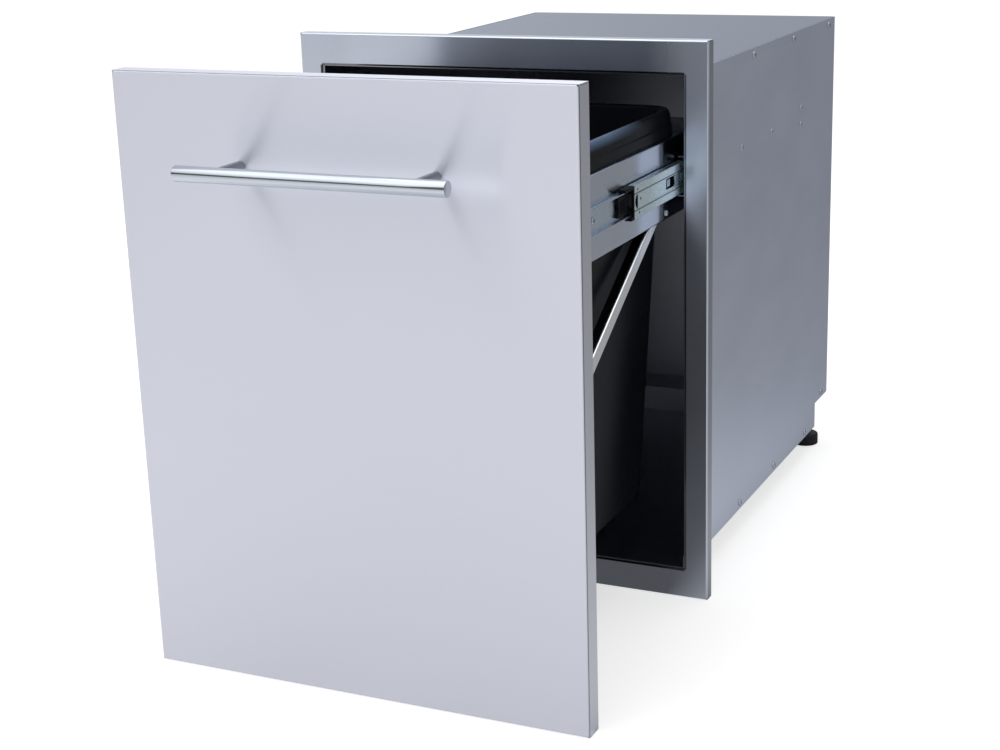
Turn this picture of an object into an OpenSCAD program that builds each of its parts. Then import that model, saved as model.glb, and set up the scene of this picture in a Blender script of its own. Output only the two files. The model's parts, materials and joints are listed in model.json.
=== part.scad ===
// Pull-out waste bin drawer for an outdoor kitchen.
// Origin on the floor, centred on the width, in the plane of the face frame's front.
// +X to the right seen from the front, +Y into the cabinet, +Z up. Millimetres.
// The drawer is drawn partly open, drawer_out from closed.

/* [Cabinet shell] */
// Outside width of the shell
cab_w = 452; // [420:1:560]
// Outside height of the shell
cab_h = 578; // [540:1:680]
// Depth of the shell, from the face frame's front
cab_d = 633; // [610:1:760]
// Height of the shell's underside above the floor
cab_z = 35; // [28:1:60]
// Thickness of the shell's sheet
cab_t = 1.2; // [0.8:0.1:2]
// Outside radius of the shell's folds
cab_r = 2.2; // [2.1:0.1:3]
// Width of the flanges that screw to the side sheets
flange_w = 16; // [14:1:22]
// Depth of the notch at the lower back edge
notch_d = 63; // [54:1:80]
// Height of the notch at the lower back edge
notch_h = 35; // [26:1:60]

/* [Face frame] */
// Width of the face frame's stiles, beside the shell
stile_w = 28; // [20:1:60]
// Height of the face frame's head, above the shell
head_h = 37; // [20:1:60]
// Depth of the face frame's outer fold
frame_d = 15; // [10:1:25]
// Depth of the inner fold that laps the shell
frame_lap = 12; // [8:1:20]
// Thickness of the face frame's sheet
frame_t = 1.2; // [0.8:0.1:2]
// Outside radius of the face frame's folds
frame_r = 2.2; // [2:0.1:3]

/* [Drawer front] */
// Overhang of the drawer front past each side of the face frame
front_over = 1; // [0:0.5:6]
// Height of the drawer front's edges above the face frame's edges
front_z = 2; // [1:0.5:12]
// Thickness of the drawer front
front_t = 25; // [18:1:32]
// Thickness of the drawer front's sheet
skin_t = 1; // [0.8:0.1:1.5]
// Outside radius of the drawer front's folds
skin_r = 2; // [1.6:0.1:3]
// Width of the hem that turns in around the back of the drawer front
hem_w = 12; // [8:1:16]
// Width of the joggled edge of the liner that lies under the hem
liner_lap = 8; // [5:0.5:9]
// Diameter of the rubber bumpers
bumper_d = 10; // [6:0.5:12]
// Height that the bumpers stand proud
bumper_h = 2; // [1:0.1:2.2]

/* [Handle] */
// Length of the handle bar
handle_l = 296; // [200:1:420]
// Diameter of the handle bar
handle_d = 16; // [12:0.5:22]
// Distance from the drawer front to the bar's axis
handle_reach = 56; // [40:1:70]
// Distance from the drawer front's top edge down to the bar's axis
handle_drop = 90.5; // [60:0.5:140]
// Diameter of the posts
post_d = 10; // [9:0.5:14]
// Distance between the posts
post_gap = 217; // [120:1:260]
// Diameter of the bolts in the posts
bolt_d = 5; // [4:0.5:6]
// Depth of the bolts in the posts
bolt_grip = 12; // [8:1:20]
// Side of the square backing plates behind the posts
backing_w = 40; // [30:1:60]
// Thickness of the backing plates
backing_t = 2; // [1.5:0.5:3]

/* [Drawer frame] */
// Distance that the drawer is out from closed
drawer_out = 342.5; // [250:0.5:400]
// Gap between the closed drawer front and the face frame
closed_gap = 2.5; // [2.3:0.1:4]
// Length of the side rails
rail_l = 500; // [460:1:520]
// Height of the side rails
rail_h = 88; // [70:1:100]
// Height of the rails' top edge above the floor
rail_top = 544; // [520:1:560]
// Thickness of the drawer frame's sheet
rail_t = 1.2; // [1:0.1:2]
// Outside radius of the rails' and bars' folds
rail_r = 2.4; // [2.2:0.1:3]
// Width of the rails' top and bottom lips
rail_lip = 9; // [6:0.5:10]
// Width of the tabs that fix the rails to the drawer front and the rear bar
rail_tab = 24; // [20:1:30]

/* [Braces] */
// Width of the braces' legs
brace_w = 13; // [11:0.5:16]
// Thickness of the braces
brace_t = 1.5; // [1:0.1:2]
// Slope of the braces in degrees
brace_tilt = 31.5; // [26:0.5:38]
// Distance from the drawer front's back to where the braces meet the rails
brace_run = 285; // [240:1:300]
// Length of the braces' tabs
brace_tab = 56; // [50:1:64]

/* [Slides] */
// Length of the cabinet members
slide_l = 500; // [470:1:540]
// Thickness of the slides
slide_t = 12.7; // [12:0.1:14]
// Height of the cabinet members
slide_h = 45; // [44:0.5:50]
// Height of the middle members
middle_h = 36; // [35.5:0.5:36.5]
// Height of the drawer members
inner_h = 28; // [27.5:0.5:28.5]
// Thickness of the slides' sheet
slide_s = 1.2; // [1:0.1:1.4]
// Set-back of the slides' front ends behind the face frame's front
slide_set = 12; // [8:1:16]
// Length of the middle members
middle_l = 450; // [430:1:460]
// Set-back of the middle members behind the cabinet members when closed
middle_set = 16; // [15:1:24]
// Length by which the drawer members are shorter than the cabinet members
inner_short = 12; // [8:1:20]
// Distance of the latch tabs behind the drawer members' front ends
latch_set = 296; // [285:1:305]
// Length that the upper arms of the middle members' plastic noses stand out
nose_l = 27; // [18:1:28]
// Distance of the release levers behind the drawer members' front ends
lever_set = 152; // [146:1:160]
// Thickness of the release levers
lever_t = 3.4; // [3:0.1:4]
// Length of the ball cages
cage_l = 190; // [150:1:196]
// Set-back of the outer cages behind the cabinet members' front ends when closed
outer_cage_set = 128; // [120:1:150]
// Set-back of the inner cages behind the cabinet members' front ends when closed
inner_cage_set = 148; // [120:1:170]
// Number of balls along each edge of a cage
ball_count = 9; // [4:1:12]
// Diameter of the balls
ball_d = 3.8; // [3.4:0.1:3.9]

/* [Bin] */
// Width of the bin over its rim
bin_w = 414; // [380:1:416]
// Length of the bin over its rim, front to back
bin_l = 375; // [330:1:380]
// Height of the bin
bin_h = 448; // [380:1:460]
// Height of the rim's top above the rails' top edge
rim_up = 29; // [20:1:34]
// Gap between the drawer front's back and the rim
bin_gap = 13; // [8:1:20]
// Overhang of the rim beyond the wall at each side
rim_side = 7; // [6:0.5:12]
// Overhang of the rim beyond the wall at the front and the back
rim_end = 17; // [12:0.5:22]
// Radius of the rim's corners
rim_r = 38; // [24:1:50]
// Slope of the bin's walls, as inward run over height
bin_taper = 0.05; // [0.03:0.005:0.08]
// Thickness of the bin's wall
bin_t = 2.5; // [2:0.1:4]

/* [Feet] */
// Diameter of the feet
foot_d = 37; // [28:1:42]
// Height of the feet
foot_h = 16; // [10:1:20]
// Diameter of the threaded stems
stem_d = 10; // [8:0.5:12]
// Distance of the feet from the shell's side, to their axis
foot_in = 21; // [21:1:40]
// Distance of the feet from the shell's back, to their axis
foot_back = 36; // [30:1:40]

/* [Hidden] */

steel = "#a9adb2";
zinc = "#c9d2d6";
black = "#1b1c20";

// Planes that the pieces share
cab_x = cab_w / 2;                                  // outer face of a side sheet
cab_in = cab_x - cab_t;                             // inner face of a side sheet
cab_top = cab_z + cab_h;
frame_w = cab_w + 2 * stile_w;
frame_h = cab_top + head_h;
front_w = frame_w + 2 * front_over;
front_h = frame_h;
shell_y = frame_t + 0.8;                            // front edge of the shell
floor_z = cab_z + cab_t;                            // top of the shell's floor
notch_y = cab_d - notch_d;
ledge_z = cab_z + notch_h;                          // underside of the notch's ledge
travel = drawer_out;
liner_y = -closed_gap - drawer_out;                 // back of the drawer front
skin_y = liner_y - front_t;                         // face of the drawer front
front_top = front_z + front_h;
rail_x = cab_in - slide_t;                          // outer face of a rail
rail_z = rail_top - rail_h;
rail_back = liner_y + rail_l;
handle_z = front_top - handle_drop;
handle_y = skin_y - handle_reach;
slide_z = rail_z + rail_h / 2 - 1;                  // centre line of the slides
slide_back = slide_set + slide_l;
inner_l = slide_l - inner_short;
middle_y = slide_set + middle_set - travel / 2;     // front end of a middle member
inner_y = slide_set - travel;                       // front end of a drawer member
bin_y0 = liner_y + bin_gap;                         // front of the bin's rim
bin_y1 = bin_y0 + bin_l;
bin_top = rail_top + rim_up;
bin_z = bin_top - bin_h;
foot_x = cab_x - foot_in;
foot_y = cab_d - foot_back;

// The slides' cross-section: u runs from the rail to the side sheet, v is up
race_u = 4.6;                                       // ball axis between drawer and middle member
race_v = (inner_h + middle_h) / 4 - slide_s / 2;
outer_u = 6.4;                                      // ball axis between middle and cabinet member
outer_v = (middle_h + slide_h) / 4 - slide_s / 2;
inner_depth = 6.4;                                  // reach of the drawer member's flanges
web_u = slide_t - 2 * slide_s - 2;                  // inner face of the middle member's web
lip_u = 2.4;                                        // free edge of the outer two members' flanges
step = 0.8;                                         // depth of the step in the middle member's web
race_band = 9.5;                                    // height of the unstepped web beside each race
cage_t = 0.5;
ball_gap = 0.12;                                    // clearance between a ball and its race
cage_end = 12;                                      // plain end of a cage, beyond its last ball

// Screw heads
screw_d = 7;
screw_h = 2;
shank_d = 3.6;
rivet_d = 6;

// Mirrored copy for the left-hand side
module at_side(side) { mirror([side < 0 ? 1 : 0, 0, 0]) children(); }

// Plate with its low corner at p and its size in s
module plate(p, s) { translate(p) cube(s); }

// Block w by t by h, its front face on y = 0, its long edges rounded by r
module folded_block(w, t, h, r) {
    intersection() {
        translate([0, t / 2, 0]) linear_extrude(h) rounded_rect(w, t, r, $fn = 48);
        translate([-w / 2, t / 2, h / 2]) rotate([90, 0, 90]) linear_extrude(w)
            rounded_rect(t, h, r, $fn = 48);
    }
}

// Seams at the four corners of a folded pan: a slot in each side wall beside the top and
// bottom walls, and a relief hole where the two folds meet
seam = 0.4;
relief_d = 2.2;
module corner_seams(w, t, h, sheet, r) {
    for (x = [-1, 1], top = [0, 1]) translate([0, 0, top * h]) mirror([0, 0, top]) {
        translate([x * (w / 2 - r * 0.6), -1, r * 0.6]) rotate([-90, 0, 0])
            cylinder(d = relief_d, h = r + 1, $fn = 24);
        translate([x * (w / 2 - sheet / 2) - sheet, r, sheet]) cube([2 * sheet, t, seam]);
    }
}

// Slab of height h and reach l whose two corners at the origin's side are rounded
module rounded_web(h, l, r) {
    translate([r, 0]) square([l - r, h]);
    translate([0, r]) square([l, h - 2 * r]);
    for (v = [r, h - r]) translate([r, v]) circle(r, $fn = 48);
}

// Folded channel section: web up the Y axis, lips of reach l towards +X, folds rounded by r
module folded_channel(h, l, t, r) {
    difference() {
        rounded_web(h, l, r);
        translate([t, t]) rounded_web(h - 2 * t, l, r - t);
    }
}

// Folded angle section: web up the Y axis to height h, one lip of reach l along X
module folded_angle(h, l, t, r) {
    intersection() {
        folded_channel(2 * h, l, t, r);
        square([l, h]);
    }
}

// Flat rectangle with round corners, centred
module rounded_rect(w, l, r, $fn = 64) {
    square([w - 2 * r, l], center = true);
    square([w, l - 2 * r], center = true);
    for (x = [-1, 1], y = [-1, 1])
        translate([x * (w / 2 - r), y * (l / 2 - r)]) circle(r);
}

// Round hole through a sheet near x, at p = [y, z]
module hole_x(x, p, d = shank_d) {
    translate([x, p[0], p[1]]) rotate([0, 90, 0]) cylinder(d = d, h = 8, center = true, $fn = 24);
}

// Round hole through a sheet near y, at p = [x, z]
module hole_y(y, p, d = shank_d) {
    translate([p[0], y, p[1]]) rotate([90, 0, 0]) cylinder(d = d, h = 8, center = true, $fn = 24);
}

// Pan-head screw along +X, head at the origin's +X side
module pan_screw(len) {
    rotate([0, 90, 0]) {
        cylinder(d1 = screw_d, d2 = screw_d - 2.4, h = screw_h, $fn = 32);
        translate([0, 0, -len]) cylinder(d = shank_d, h = len, $fn = 24);
    }
}

// ---- Shell ----

// Rounds the edge of an opening where its fold leaves the face: a bar along +X, edge at the origin
module fold_relief(len, r) {
    translate([-len / 2, 0, 0]) difference() {
        translate([0, -1, -1]) cube([len, r + 1, r + 1]);
        translate([-1, r, r]) rotate([0, 90, 0]) cylinder(r = r, h = len + 2, $fn = 48);
    }
}

module face_frame() {
    open_z0 = cab_z - frame_t;
    open_h = cab_h + 2 * frame_t;
    inner_r = frame_r - frame_t;
    color(steel) difference() {
        intersection() {
            folded_block(frame_w, frame_d + 2 * frame_r, frame_h, frame_r);
            plate([-frame_w / 2, 0, 0], [frame_w, frame_d, frame_h]);
        }
        // hollow behind the face, between the outer and the inner fold
        difference() {
            translate([0, frame_t, frame_t]) folded_block(frame_w - 2 * frame_t, frame_d + 2 * frame_r,
                                                          frame_h - 2 * frame_t, inner_r);
            plate([-cab_x - frame_t, 0, open_z0], [cab_w + 2 * frame_t, frame_lap, open_h]);
        }
        // opening, with its edges rounded into the inner fold
        plate([-cab_x, -1, cab_z], [cab_w, frame_d + 2, cab_h]);
        plate([-cab_x - frame_t, frame_lap, open_z0], [cab_w + 2 * frame_t, frame_d, open_h]);
        for (side = [-1, 1]) {
            translate([0, 0, cab_z + (side + 1) / 2 * cab_h]) mirror([0, 0, side > 0 ? 0 : 1])
                fold_relief(cab_w, frame_r);
            translate([side * cab_x, 0, cab_z + cab_h / 2]) rotate([0, side * 90, 0])
                fold_relief(cab_h, frame_r);
        }
        corner_seams(frame_w, frame_d, frame_h, frame_t, frame_r);
    }
}

// Places of the screws along a side: [y, z, kind], low row, top row and one above the notch
screw_edge = flange_w / 2 + 0.5;
function low_screws() = [for (i = [0 : 2]) [notch_y * (0.375 + 0.265 * i), cab_z + screw_edge]];
function top_screws() = [for (i = [0 : 2]) [cab_d * (0.405 + 0.273 * i), cab_top - screw_edge]];
notch_screw = [cab_d - notch_d / 2, ledge_z + screw_edge];
function side_screws() = concat(low_screws(), top_screws(), [notch_screw]);

// Places of the rivets that hold a cabinet member to its side sheet
rivet_rise = 11;
function rivets() = [[slide_set + 0.4 * slide_l, slide_z], [slide_set + 0.645 * slide_l, slide_z],
    [slide_set + 0.915 * slide_l, slide_z + rivet_rise], [slide_set + 0.915 * slide_l, slide_z - rivet_rise]];

module side_profile() {
    polygon([[shell_y, cab_z], [notch_y, cab_z], [notch_y, ledge_z], [cab_d, ledge_z],
             [cab_d, cab_top], [shell_y, cab_top]]);
}

module side_sheet(side) {
    color(steel) at_side(side) difference() {
        translate([cab_in, 0, 0]) rotate([90, 0, 90]) linear_extrude(cab_t) side_profile();
        for (p = concat(side_screws(), rivets())) hole_x(cab_in, p);
    }
}
module left_side() { side_sheet(-1); }
module right_side() { side_sheet(1); }

// Holes for the shell's screws through the flanges inside the side sheets
module flange_holes(places) {
    for (side = [-1, 1], p = places) hole_x(side * cab_in, p);
}

module top_panel() {
    w = 2 * cab_in;
    color(steel) difference() {
        union() {
            translate([-cab_in, cab_d, cab_top]) rotate([90, 0, 0]) linear_extrude(cab_d - shell_y)
                rotate(-90) folded_channel(w, flange_w, cab_t, cab_r);
            // flange down over the back sheet
            plate([-cab_in + cab_r, cab_d - cab_t, cab_top - flange_w],
                  [w - 2 * cab_r, cab_t, flange_w - cab_t / 2]);
        }
        flange_holes(top_screws());
    }
}

module bottom_panel() {
    w = 2 * cab_in;
    l = notch_y - cab_t - shell_y;
    color(steel) difference() {
        translate([cab_in, shell_y + l, cab_z]) rotate([90, 0, 0]) linear_extrude(l) rotate(90)
            folded_channel(w, flange_w, cab_t, cab_r);
        flange_holes(low_screws());
    }
}

// Back sheet: riser behind the floor, ledge over the notch, then the back wall
module back_profile() {
    riser_y = notch_y - cab_t;
    polygon([[riser_y, cab_z], [notch_y, cab_z], [notch_y, ledge_z], [cab_d, ledge_z],
             [cab_d, cab_top - flange_w], [cab_d - cab_t, cab_top - flange_w],
             [cab_d - cab_t, ledge_z + cab_t], [riser_y, ledge_z + cab_t]]);
}

module back_panel() {
    w = 2 * (cab_in - cab_t);
    color(steel) difference() {
        union() {
            translate([-w / 2, 0, 0]) rotate([90, 0, 90]) linear_extrude(w) back_profile();
            for (side = [-1, 1]) at_side(side)
                plate([cab_in - cab_t, notch_y - cab_t, ledge_z],
                      [cab_t, notch_d + cab_t, flange_w]);
            for (side = [-1, 1]) at_side(side)
                plate([cab_in - cab_t, cab_d - flange_w, ledge_z + flange_w],
                      [cab_t, flange_w, cab_h - notch_h - 2 * flange_w]);
        }
        flange_holes([notch_screw]);
        for (side = [-1, 1]) translate([side * foot_x, foot_y, ledge_z - 1])
            cylinder(d = stem_d + 0.4, h = cab_t + 2, $fn = 48);
    }
}

module shell_screws() {
    color(zinc) for (side = [-1, 1]) at_side(side) for (p = side_screws())
        translate([cab_x, p[0], p[1]]) pan_screw(2 * cab_t + 4);
}

// ---- Levelling feet ----

nut_h = 8;
nut_af = stem_d * 1.7;
stem_fit = 0.06;                                    // running clearance of a stem in its nut

module foot_nuts() {
    color(zinc) for (side = [-1, 1]) translate([side * foot_x, foot_y, ledge_z + cab_t]) difference() {
        cylinder(d = nut_af / cos(30), h = nut_h, $fn = 6);
        translate([0, 0, -1]) cylinder(d = stem_d + 2 * stem_fit, h = nut_h + 2, $fn = 48);
    }
}

module foot(side) {
    r = foot_d / 2;
    edge = 3;
    stem_top = ledge_z + cab_t + nut_h + 6;
    translate([side * foot_x, foot_y, 0]) {
        color(black) rotate_extrude($fn = 64) {
            difference() {
                square([r, foot_h]);
                translate([r - edge, foot_h - edge]) difference() {
                    square(edge + 1);
                    circle(edge, $fn = 48);
                }
                translate([0, -1]) square([r - 4, 2]);
            }
        }
        color(zinc) translate([0, 0, foot_h]) cylinder(d = stem_d * 1.6, h = 5, $fn = 6);
        color(zinc) translate([0, 0, foot_h + 5]) cylinder(d = stem_d, h = stem_top - foot_h - 5, $fn = 48);
    }
}
module left_foot() { foot(-1); }
module right_foot() { foot(1); }

// ---- Ball-bearing slides ----

// Channel section lying on its side: web of thickness slide_s from u0, flanges out to u1
module channel(h, u0, u1) {
    flip = u1 < u0;
    reach = flip ? u0 + slide_s - u1 : u1 - u0;
    translate([flip ? u0 + slide_s : u0, -h / 2]) mirror([flip ? 1 : 0, 0])
        folded_channel(h, reach, slide_s, slide_s + 0.4);
}

// A pair of ball grooves, above and below the centre line
module grooves(u, v) {
    for (s = [-1, 1]) translate([u, s * v]) circle(d = ball_d + 2 * ball_gap, $fn = 48);
}

// Drawer member's section, its web on the rail
module inner_section() {
    difference() {
        channel(inner_h, 0, inner_depth);
        grooves(race_u, race_v);
    }
}

// Middle member's section: a stepped web towards the side sheet, flanges towards the rail
module middle_section() {
    riser = 1;
    low = middle_h / 2 - race_band - riser;
    difference() {
        union() {
            channel(middle_h, web_u, lip_u);
            translate([web_u - step, -low - riser]) square([slide_s + step, 2 * (low + riser)]);
        }
        translate([web_u + slide_s - step, -low]) square([step + 1, 2 * low]);
        grooves(race_u, race_v);
        grooves(outer_u, outer_v);
    }
}

// Cabinet member's section, its web on the side sheet
module outer_section() {
    difference() {
        channel(slide_h, slide_t - slide_s, lip_u);
        grooves(outer_u, outer_v);
    }
}

// Extrudes a section of the right-hand slide along +Y, from y0
module run(y0, len) {
    translate([rail_x, y0 + len, slide_z]) rotate([90, 0, 0]) linear_extrude(len) children();
}

// Drills through the webs at [y, z] places
module web_hole(p, d) {
    translate([rail_x - 1, p[0], p[1]]) rotate([0, 90, 0]) cylinder(d = d, h = slide_t + 2, $fn = 32);
}

// Slot through the webs on the centre line, len between its rounds' centres
slot_w = 4.6;
module web_slot(y, len) {
    for (k = [-1, 1]) web_hole([y + k * len / 2, slide_z], slot_w);
    plate([rail_x - 1, y - len / 2, slide_z - slot_w / 2], [slide_t + 2, len, slot_w]);
}

module cabinet_slide(side) {
    tab = 9;
    color(zinc) at_side(side) {
        difference() {
            run(slide_set, slide_l) outer_section();
            for (p = rivets()) web_hole(p, shank_d);
            // slots for other hole patterns
            for (f = [0.1, 0.28, 0.77]) web_slot(slide_set + f * slide_l, 8);
        }
        // front stop tab, lanced out of the web
        plate([rail_x + slide_t - slide_s - 1.4, slide_set + 0.4, slide_z - tab / 2], [1.4, 1.2, tab]);
    }
}
module left_cabinet_slide() { cabinet_slide(-1); }
module right_cabinet_slide() { cabinet_slide(1); }

module slide_rivets() {
    color(zinc) for (side = [-1, 1]) at_side(side) for (p = rivets()) {
        translate([cab_in - slide_s, p[0], p[1]]) rotate([0, 90, 0]) {
            cylinder(d = shank_d, h = cab_t + slide_s, $fn = 24);
            translate([0, 0, -0.4]) cylinder(d = rivet_d, h = 0.4, $fn = 32);
            translate([0, 0, cab_t + slide_s]) cylinder(d1 = rivet_d, d2 = rivet_d - 2, h = 1.4, $fn = 32);
        }
    }
}

// Rubber stop in the back end of a cabinet member
module slide_stop(side) {
    len = inner_short - 2;
    color(black) at_side(side)
        plate([rail_x + 3, slide_back - len, slide_z - slide_h / 2 + 5],
              [slide_t - slide_s - 3, len, slide_h - 10]);
}
module left_slide_stop() { slide_stop(-1); }
module right_slide_stop() { slide_stop(1); }

// Middle member with the D-shaped hole, the latch window and small holes near its front end
window_set = 98;                                    // distance of the window behind the front end
window_l = 29;
window_h = 12;
module middle_slide(side) {
    d_r = 8;
    d_y = middle_y + 12;
    color(zinc) at_side(side) difference() {
        run(middle_y, middle_l) middle_section();
        difference() {
            web_hole([d_y, slide_z], 2 * d_r);
            plate([rail_x - 2, d_y, slide_z - d_r - 1], [slide_t + 4, d_r + 2, 2 * d_r + 2]);
        }
        for (p = [[9, 12.5], [20, 1], [14, -12.5]]) web_hole([middle_y + p[0], slide_z + p[1]], 3);
        translate([rail_x - 1, middle_y + window_set + window_l / 2, slide_z + 1])
            rotate([90, 0, 90]) linear_extrude(slide_t + 2) rounded_rect(window_l, window_h, 2, $fn = 24);
        for (k = [180, 300, 400]) web_hole([middle_y + k, slide_z], 8);
    }
}
module left_middle_slide() { middle_slide(-1); }
module right_middle_slide() { middle_slide(1); }

// Plastic nose on a middle member's front end: a thin wall, and two arms that guide the drawer member
nose_fit = 0.4;                                     // running clearance around the drawer member
nose_wall = 3;
module slide_nose(side) {
    inside = inner_h / 2 + nose_fit;
    reach = web_u + slide_s;
    color(black) at_side(side) difference() {
        union() {
            run(middle_y - nose_wall, nose_wall) translate([1.6, -middle_h / 2])
                square([reach - 1.6, middle_h]);
            for (arm = [[1, nose_l], [-1, nose_l / 3]]) run(middle_y - arm[1], arm[1])
                translate([1.6, arm[0] > 0 ? inside : -middle_h / 2])
                    square([reach - 1.6, middle_h / 2 - inside]);
        }
        run(middle_y - nose_l - 1, nose_l + 2) translate([0, -inside])
            square([inner_depth + nose_fit, 2 * inside]);
    }
}
module left_slide_nose() { slide_nose(-1); }
module right_slide_nose() { slide_nose(1); }

// Ball cage: strips between the flanges, joined by a web at both ends
module cage(side, y0, u0, strip_u, v, gap_v) {
    strip = 1.1;
    color(zinc) at_side(side) difference() {
        union() {
            run(y0, cage_l) for (s = [-1, 1])
                translate([min(strip_u, u0), s * v - strip / 2]) square([abs(u0 - strip_u) + cage_t, strip]);
            for (y = [y0, y0 + cage_l - cage_end])
                run(y, cage_end) translate([u0, -v]) square([cage_t, 2 * v]);
            for (s = [-1, 1])
                run(y0, cage_l) translate([u0, s > 0 ? v - 3 : -v]) square([cage_t, 3]);
        }
        cage_balls(y0, strip_u + gap_v, v, ball_d + 0.3);
    }
}

// Balls of one cage on the right-hand side, evenly spaced between its plain ends
module cage_balls(y0, u, v, d) {
    pitch = (cage_l - 2 * cage_end) / (ball_count - 1);
    for (i = [0 : ball_count - 1], s = [-1, 1])
        translate([rail_x + u, y0 + cage_end + i * pitch, slide_z + s * v]) sphere(d = d, $fn = 24);
}

cage_outer_y = slide_set + outer_cage_set - travel / 4;
cage_inner_y = slide_set + inner_cage_set - travel * 3 / 4;
outer_strip = 3.4;
inner_strip = 1.9;

module outer_cage(side) {
    cage(side, cage_outer_y, web_u + slide_s + 0.7, outer_strip, outer_v, outer_u - outer_strip);
}
module inner_cage(side) {
    cage(side, cage_inner_y, inner_depth + 0.3, inner_strip, race_v, race_u - inner_strip);
}
module left_outer_cage() { outer_cage(-1); }
module right_outer_cage() { outer_cage(1); }
module left_inner_cage() { inner_cage(-1); }
module right_inner_cage() { inner_cage(1); }
module left_outer_balls() { color(zinc) at_side(-1) cage_balls(cage_outer_y, outer_u, outer_v, ball_d); }
module right_outer_balls() { color(zinc) at_side(1) cage_balls(cage_outer_y, outer_u, outer_v, ball_d); }
module left_inner_balls() { color(zinc) at_side(-1) cage_balls(cage_inner_y, race_u, race_v, ball_d); }
module right_inner_balls() { color(zinc) at_side(1) cage_balls(cage_inner_y, race_u, race_v, ball_d); }

// Places of the screws that hold a drawer member to its rail
slide_screw_back = 24;                              // distance of the last one from the rear bar's tab
function slide_screw_places() = [
    for (y = [inner_y + 0.185 * inner_l, inner_y + inner_l / 2, rail_back - rear_tab - slide_screw_back])
        [y, slide_z]
];

module drawer_slide(side) {
    latch_y = inner_y + latch_set;
    color(zinc) at_side(side) {
        difference() {
            run(inner_y, inner_l) inner_section();
            for (p = slide_screw_places()) web_hole(p, 4.2);
            for (f = [0.06, 0.32, 0.7]) web_slot(inner_y + f * inner_l, 6);
            web_hole([lever_y + lever_pin, slide_z], lever_pin_d);
        }
        // latch tab, lanced out of the web and seen through the middle member's window
        plate([rail_x + slide_s, latch_y, slide_z - 4], [4.6, 1.4, 8]);
        plate([rail_x + slide_s + 3.4, latch_y, slide_z - 4], [1.2, 10, 8]);
    }
}
module left_drawer_slide() { drawer_slide(-1); }
module right_drawer_slide() { drawer_slide(1); }

// Release lever in a drawer member: a ribbed pad with a hollowed front edge, and a tail that
// passes around the middle screw to the latch tab. A pin holds it in the web.
lever_y = inner_y + lever_set;
lever_pad = 46;
lever_h = 21;
lever_tail = 8;
lever_pin = 30;                                     // distance of the pin behind the lever's front
lever_pin_d = 4;
module lever_side() {
    eye = slide_screw_places()[1][0] - lever_y;
    hollow = 14;
    difference() {
        union() {
            translate([lever_pad / 2, 0]) rounded_rect(lever_pad, lever_h, 3, $fn = 24);
            translate([lever_pad / 2, -lever_tail / 2])
                square([latch_set - lever_set - 2 - lever_pad / 2, lever_tail]);
            translate([eye, 0]) circle(screw_d, $fn = 48);
        }
        translate([2.5 - hollow, 0]) circle(hollow, $fn = 64);
        translate([eye, 0]) circle(screw_d / 2 + 1, $fn = 48);
    }
}
module release_lever(side) {
    rib = 1.2;
    color(black) at_side(side) {
        translate([rail_x + slide_s, lever_y, slide_z]) rotate([90, 0, 90]) linear_extrude(lever_t)
            lever_side();
        for (k = [2 : 5]) translate([rail_x + slide_s + lever_t - rib / 2, lever_y + k * 3 * rib, slide_z])
            plate([0, 0, -lever_h / 3], [rib, rib, 2 * lever_h / 3]);
        translate([rail_x, lever_y + lever_pin, slide_z]) rotate([0, 90, 0])
            cylinder(d = lever_pin_d, h = slide_s + 1, $fn = 32);
    }
}
module left_release_lever() { release_lever(-1); }
module right_release_lever() { release_lever(1); }

module slide_screws() {
    color(zinc) for (side = [-1, 1]) at_side(side) for (p = slide_screw_places())
        translate([rail_x + slide_s, p[0], p[1]]) pan_screw(slide_s + rail_t + 3);
}

// ---- Drawer front ----

bolt_fit = 0.4;                                     // clearance of the handle's bolts in the sheet

module front_skin() {
    w = front_w;
    h = front_h;
    color(steel) translate([0, skin_y, front_z]) difference() {
        folded_block(w, front_t, h, skin_r);
        translate([0, skin_t, skin_t])
            folded_block(w - 2 * skin_t, front_t - 2 * skin_t, h - 2 * skin_t, skin_r - skin_t);
        plate([-w / 2 + hem_w, front_t / 2, hem_w], [w - 2 * hem_w, front_t, h - 2 * hem_w]);
        corner_seams(w, front_t, h, skin_t, skin_r);
        // mitres between the hems
        for (x = [-1, 1], top = [0, 1]) translate([x * w / 2, front_t, top * h]) mirror([0, 0, top])
            rotate([0, x * 45, 0]) translate([-seam / 2, -skin_t - 0.2, -1])
                cube([seam, 2 * skin_t, hem_w * sqrt(2) + 2]);
        for (side = [-1, 1]) hole_y(0, [side * post_gap / 2, handle_z - front_z], bolt_d + bolt_fit);
    }
}

// Inner sheet that closes the back of the drawer front, a shallow pan set into the hem
module front_liner() {
    w = front_w - 2 * hem_w;
    h = front_h - 2 * hem_w;
    lap = liner_lap;
    z0 = front_z + hem_w;
    color(steel) difference() {
        union() {
            plate([-w / 2, liner_y - skin_t, z0], [w, skin_t, h]);
            plate([-w / 2 - lap, liner_y - 2 * skin_t, z0 - lap], [w + 2 * lap, skin_t, h + 2 * lap]);
        }
        // the joggled edge is only a border
        plate([-w / 2 + lap, liner_y - 3 * skin_t, z0 + lap], [w - 2 * lap, 2 * skin_t, h - 2 * lap]);
        for (p = concat(tab_screws(), bar_screws(), foot_screws())) hole_y(liner_y, p);
    }
}

module front_bumpers() {
    in = stile_w / 2;
    color(black) for (x = [-1, 1], z = [in, frame_h - in])
        translate([x * (frame_w / 2 - in), liner_y, z]) rotate([-90, 0, 0])
            cylinder(d1 = bumper_d, d2 = bumper_d - 2, h = bumper_h, $fn = 32);
}

// ---- Handle ----

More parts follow.
